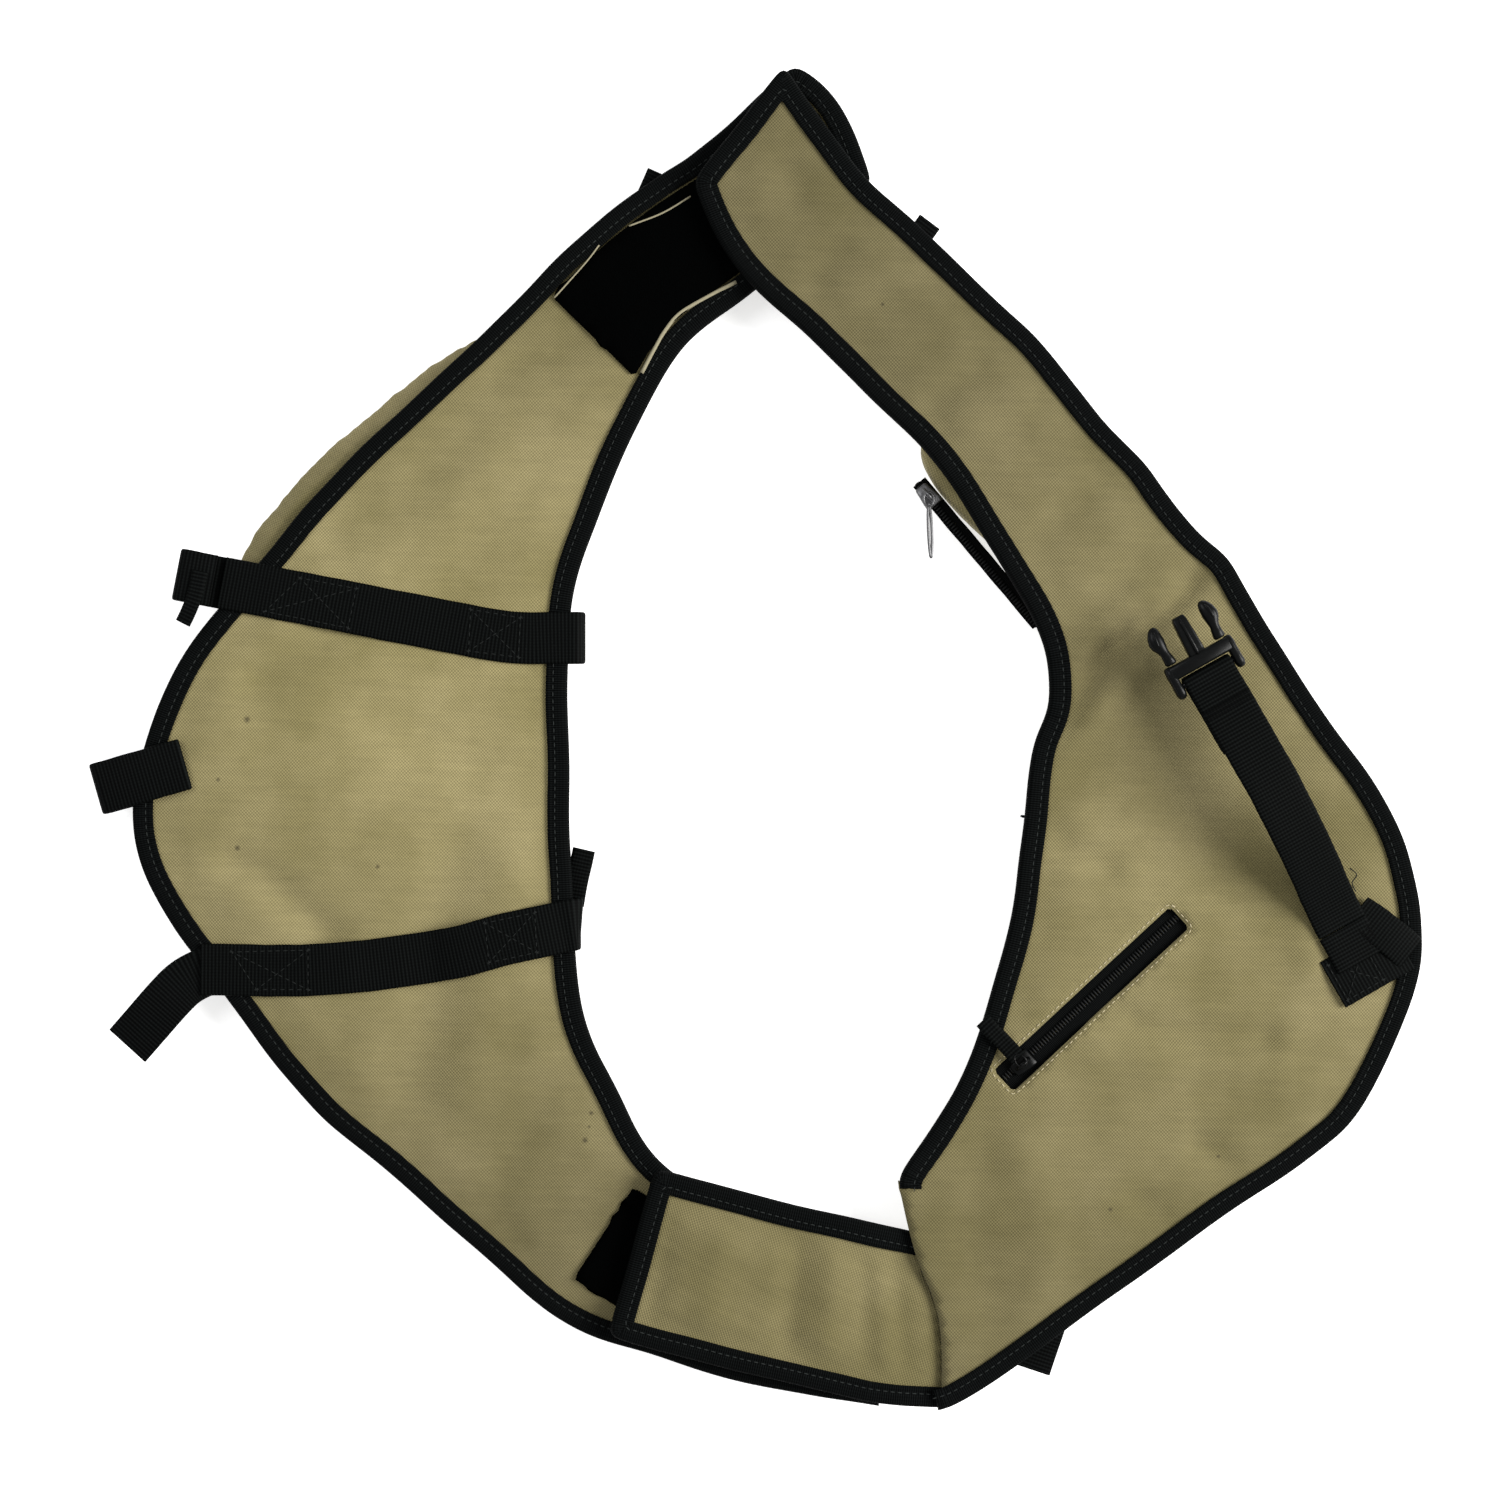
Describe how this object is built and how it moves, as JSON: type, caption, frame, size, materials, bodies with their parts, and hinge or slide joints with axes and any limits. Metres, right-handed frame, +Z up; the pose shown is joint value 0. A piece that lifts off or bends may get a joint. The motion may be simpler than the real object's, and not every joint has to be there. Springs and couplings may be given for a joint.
{
  "type": "fishing vest",
  "caption": "One-shoulder fishing vest: padded front and back panels joined by a shoulder strap and waist belt with hook-and-loop, zipped pockets and a side-release buckle.",
  "frame": {"origin": "middle of the footprint, on the surface that the vest lies on, pockets down", "axes": "+Z up out of the lining, +Y towards the shoulder end, +X towards the front panel"},
  "size_m": [0.6418, 0.649, 0.0603],
  "materials": {
    "lining_cloth": "matte fine-ribbed khaki polyester",
    "shell_cloth": "matte khaki polyester",
    "foam": "closed-cell foam sheet",
    "binding_tape": "matte ribbed black tape",
    "webbing": "satin black webbing with cross ribs",
    "hook_and_loop": "matte black pile",
    "zip_tape": "black woven tape and coil",
    "buckle_plastic": "glossy black moulded plastic",
    "steel": "dull nickel-plated"
  },
  "bodies": {
    "front_panel": {"front_shell": "shell_cloth", "front_foam": "foam", "front_lining": "lining_cloth", "front_binding_inner": "binding_tape", "front_binding_outer": "binding_tape", "inner_pocket_bag": "shell_cloth", "front_pocket": "shell_cloth", "front_zip_tape_upper": "zip_tape", "front_zip_tape_lower": "zip_tape", "front_zip_coil": "zip_tape", "buckle_patch": "webbing", "front_lower_tab": "webbing", "pocket_zip_tape_upper": "zip_tape", "pocket_zip_tape_lower": "zip_tape", "pocket_zip_coil": "zip_tape"},
    "shoulder_strap": {"strap_shell": "shell_cloth", "strap_foam": "foam", "strap_lining": "lining_cloth", "strap_binding": "binding_tape", "strap_hook_patch": "hook_and_loop", "strap_pocket": "shell_cloth", "strap_zip_tape": "zip_tape", "strap_zip_coil": "zip_tape", "strap_outer_tab": "webbing"},
    "waist_belt": {"belt_shell": "shell_cloth", "belt_foam": "foam", "belt_lining": "lining_cloth", "belt_binding": "binding_tape", "belt_hook_patch": "hook_and_loop"},
    "back_panel": {"back_shell": "shell_cloth", "back_foam": "foam", "back_lining": "lining_cloth", "back_binding": "binding_tape", "back_loop_patch_upper": "hook_and_loop", "back_loop_patch_lower": "hook_and_loop", "back_pocket": "shell_cloth", "upper_cross_strap": "webbing", "lower_cross_strap": "webbing", "inner_edge_tab": "webbing", "upper_arm_tab": "webbing", "edge_loop": "webbing", "back_zip_tape_upper": "zip_tape", "back_zip_tape_lower": "zip_tape", "back_zip_coil": "zip_tape"},
    "buckle_strap": {"buckle_webbing": "webbing"},
    "male_buckle": {"buckle_body": "buckle_plastic"},
    "left_prong": {"buckle_prong_left": "buckle_plastic"},
    "right_prong": {"buckle_prong_right": "buckle_plastic"},
    "lining_zip_runner": {"front_zip_slider": "buckle_plastic"},
    "lining_zip_tab": {"front_zip_pull": "webbing"},
    "front_pocket_zip_runner": {"pocket_zip_slider": "buckle_plastic"},
    "front_pocket_zip_tab": {"pocket_zip_pull": "webbing"},
    "strap_pocket_zip_runner": {"strap_zip_slider": "steel"},
    "strap_pocket_zip_wire": {"strap_zip_pull": "steel"},
    "back_pocket_zip_runner": {"back_zip_slider": "buckle_plastic"},
    "back_pocket_zip_tab": {"back_zip_pull": "webbing"},
    "upper_tail": {"upper_strap_tail": "webbing"},
    "lower_tail": {"lower_strap_tail": "webbing"},
    "female_buckle": {"buckle_socket": "buckle_plastic"}
  },
  "joints": [
    {"name": "strap_peel", "type": "hinge", "parent": "front_panel", "child": "shoulder_strap", "pos_m": [0.14101, 0.0115, 0.031], "axis": [0.7581, 0.6521, 0], "range_deg": [0, 90]},
    {"name": "belt_peel", "type": "hinge", "parent": "front_panel", "child": "waist_belt", "pos_m": [0.09401, -0.3235, 0.031], "axis": [-0.0175, 0.9998, 0], "range_deg": [0, 90]},
    {"name": "size_adjust", "type": "slide", "parent": "front_panel", "child": "back_panel", "axis": [1, 0, 0], "range_m": [-0.04, 0]},
    {"name": "buckle_strap_lift", "type": "hinge", "parent": "front_panel", "child": "buckle_strap", "pos_m": [0.28101, -0.0915, 0.0331], "axis": [0.8738, 0.4862, 0], "range_deg": [0, 50]},
    {"name": "male_buckle_tilt", "type": "hinge", "parent": "buckle_strap", "child": "male_buckle", "pos_m": [0.21391, 0.02909, 0.0511], "axis": [0.8738, 0.4862, 0], "range_deg": [-20, 35]},
    {"name": "left_prong_flex", "type": "hinge", "parent": "male_buckle", "child": "left_prong", "pos_m": [0.19609, 0.03439, 0.0511], "axis": [0, 0, 1], "range_deg": [-9, 0], "stiffness_Nm_per_rad": 0.08},
    {"name": "right_prong_flex", "type": "hinge", "parent": "male_buckle", "child": "right_prong", "pos_m": [0.2188, 0.04703, 0.0511], "axis": [0, 0, 1], "range_deg": [0, 9], "stiffness_Nm_per_rad": 0.08},
    {"name": "lining_zip_run", "type": "slide", "parent": "front_panel", "child": "lining_zip_runner", "axis": [0.7314, 0.682, 0], "range_m": [-0.005, 0.09]},
    {"name": "lining_zip_flip", "type": "hinge", "parent": "lining_zip_runner", "child": "lining_zip_tab", "pos_m": [0.12947, -0.15685, 0.0342], "axis": [0.7314, 0.682, 0], "range_deg": [0, 180]},
    {"name": "front_pocket_zip_run", "type": "slide", "parent": "front_panel", "child": "front_pocket_zip_runner", "axis": [-0.1888, -0.982, 0], "range_m": [0, 0.105]},
    {"name": "front_pocket_zip_swing", "type": "hinge", "parent": "front_pocket_zip_runner", "child": "front_pocket_zip_tab", "pos_m": [0.13878, -0.04094, 0.01135], "axis": [-0.1888, -0.982, 0], "range_deg": [-20, 20]},
    {"name": "strap_pocket_zip_run", "type": "slide", "parent": "shoulder_strap", "child": "strap_pocket_zip_runner", "axis": [0.6445, -0.7646, 0], "range_m": [0, 0.04]},
    {"name": "strap_pocket_wire_lift", "type": "hinge", "parent": "strap_pocket_zip_runner", "child": "strap_pocket_zip_wire", "pos_m": [0.08478, 0.11574, 0.0205], "axis": [-0.6445, 0.7646, 0], "range_deg": [0, 65]},
    {"name": "back_pocket_zip_run", "type": "slide", "parent": "back_panel", "child": "back_pocket_zip_runner", "axis": [0, 1, 0], "range_m": [0, 0.13]},
    {"name": "back_pocket_zip_swing", "type": "hinge", "parent": "back_pocket_zip_runner", "child": "back_pocket_zip_tab", "pos_m": [-0.09989, -0.0585, 0.0062], "axis": [0, 1, 0], "range_deg": [-15, 15]},
    {"name": "upper_tail_lift", "type": "hinge", "parent": "back_panel", "child": "upper_tail", "pos_m": [-0.25699, 0.0735, 0.0225], "axis": [0.1882, 0.9821, 0], "range_deg": [0, 90]},
    {"name": "lower_tail_lift", "type": "hinge", "parent": "back_panel", "child": "lower_tail", "pos_m": [-0.26729, -0.113, 0.0225], "axis": [0, 1, 0], "range_deg": [0, 90]},
    {"name": "female_buckle_drop", "type": "hinge", "parent": "back_panel", "child": "female_buckle", "pos_m": [-0.26366, -0.01106, 0.0073], "axis": [-0.2756, 0.9613, 0], "range_deg": [0, 30]}
  ],
  "couplings": [
    {"joint": "right_prong_flex", "follows": "left_prong_flex", "ratio": -1}
  ]
}
